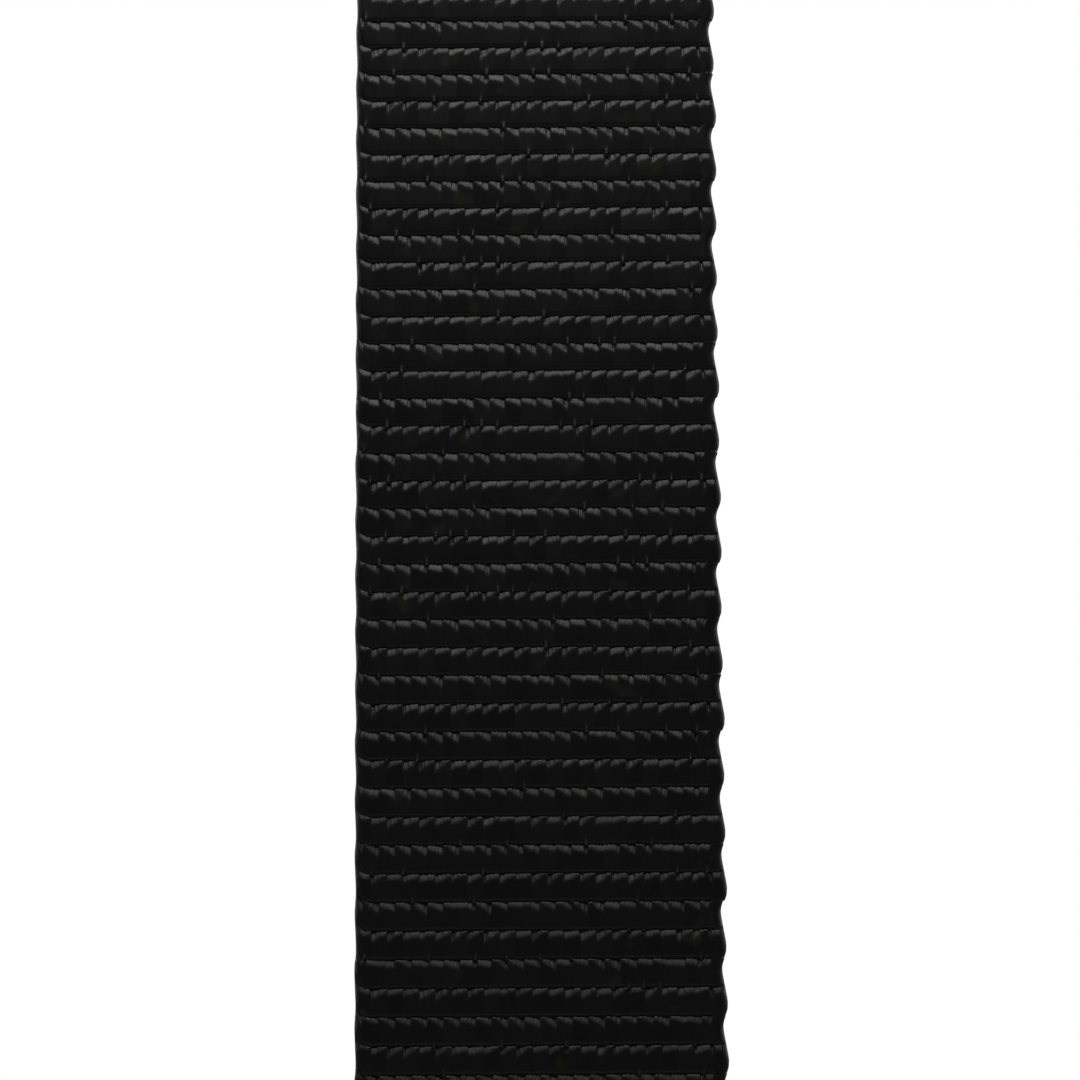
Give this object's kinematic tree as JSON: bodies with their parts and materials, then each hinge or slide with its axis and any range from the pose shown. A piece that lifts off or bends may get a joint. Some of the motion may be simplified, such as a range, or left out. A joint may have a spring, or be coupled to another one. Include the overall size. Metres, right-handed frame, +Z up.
{
  "type": "guitar strap",
  "caption": "Adjustable ribbed webbing guitar strap with leather end tabs, hanging in an arch, with a sliding buckle and a ring on its adjusting leg.",
  "frame": {"origin": "the point on the strap's underside that rests on the shoulder, at the top of the arch", "axes": "+Z up, X across the webbing, plain leg hanging at -Y, adjusting leg at +Y"},
  "size_m": [0.062, 0.1317, 0.6844],
  "materials": {
    "webbing": "ribbed plain weave, dull black with a dry sheen",
    "leather": "black grained leather, satin",
    "thread": "waxed black thread",
    "moulded": "black moulded plastic, fine texture"
  },
  "bodies": {
    "shoulder": {"shoulder_webbing": "webbing"},
    "plain_leg": {"plain_webbing": "webbing"},
    "plain_tab": {"plain_webbing_end": "webbing", "plain_tab_face": "leather", "plain_tab_back": "leather", "plain_tab_edge_stitching": "thread", "plain_tab_box_stitching": "thread"},
    "adjusting_leg": {"adjust_webbing": "webbing"},
    "slider": {"slider": "moulded", "end_loop_webbing": "webbing", "end_tack_stitching": "thread"},
    "ring_turn": {"turn_webbing": "webbing", "return_webbing": "webbing"},
    "ring": {"ring": "moulded"},
    "adjusting_tab": {"keeper_webbing": "webbing", "adjust_tab_face": "leather", "adjust_tab_back": "leather", "adjust_tab_edge_stitching": "thread", "adjust_tab_box_stitching": "thread"}
  },
  "joints": [
    {"name": "plain_leg_swing", "type": "hinge", "parent": "shoulder", "child": "plain_leg", "pos_m": [0, -0.0612, -0.0608], "axis": [-1, 0, 0], "range_deg": [-5, 40]},
    {"name": "plain_tab_flex", "type": "hinge", "parent": "plain_leg", "child": "plain_tab", "pos_m": [0, -0.0612, -0.3192], "axis": [-1, 0, 0], "range_deg": [-15, 30]},
    {"name": "adjusting_leg_swing", "type": "hinge", "parent": "shoulder", "child": "adjusting_leg", "pos_m": [0, 0.0612, -0.0608], "axis": [1, 0, 0], "range_deg": [-5, 40]},
    {"name": "slider_travel", "type": "slide", "parent": "adjusting_leg", "child": "slider", "axis": [0, 0, 1], "range_m": [-0.2, 0.2]},
    {"name": "ring_travel", "type": "slide", "parent": "adjusting_leg", "child": "ring_turn", "axis": [0, 0, 1], "range_m": [-0.1, 0.1], "deforming": ["adjust_webbing", "return_webbing"]},
    {"name": "ring_swing", "type": "hinge", "parent": "ring_turn", "child": "ring", "pos_m": [0, 0.0572, -0.53], "axis": [1, 0, 0], "range_deg": [-30, 70]},
    {"name": "adjusting_tab_swing", "type": "hinge", "parent": "ring", "child": "adjusting_tab", "pos_m": [0, 0.0572, -0.555], "axis": [1, 0, 0], "range_deg": [-30, 60]}
  ],
  "couplings": [
    {"joint": "ring_travel", "follows": "slider_travel", "ratio": 0.5}
  ]
}
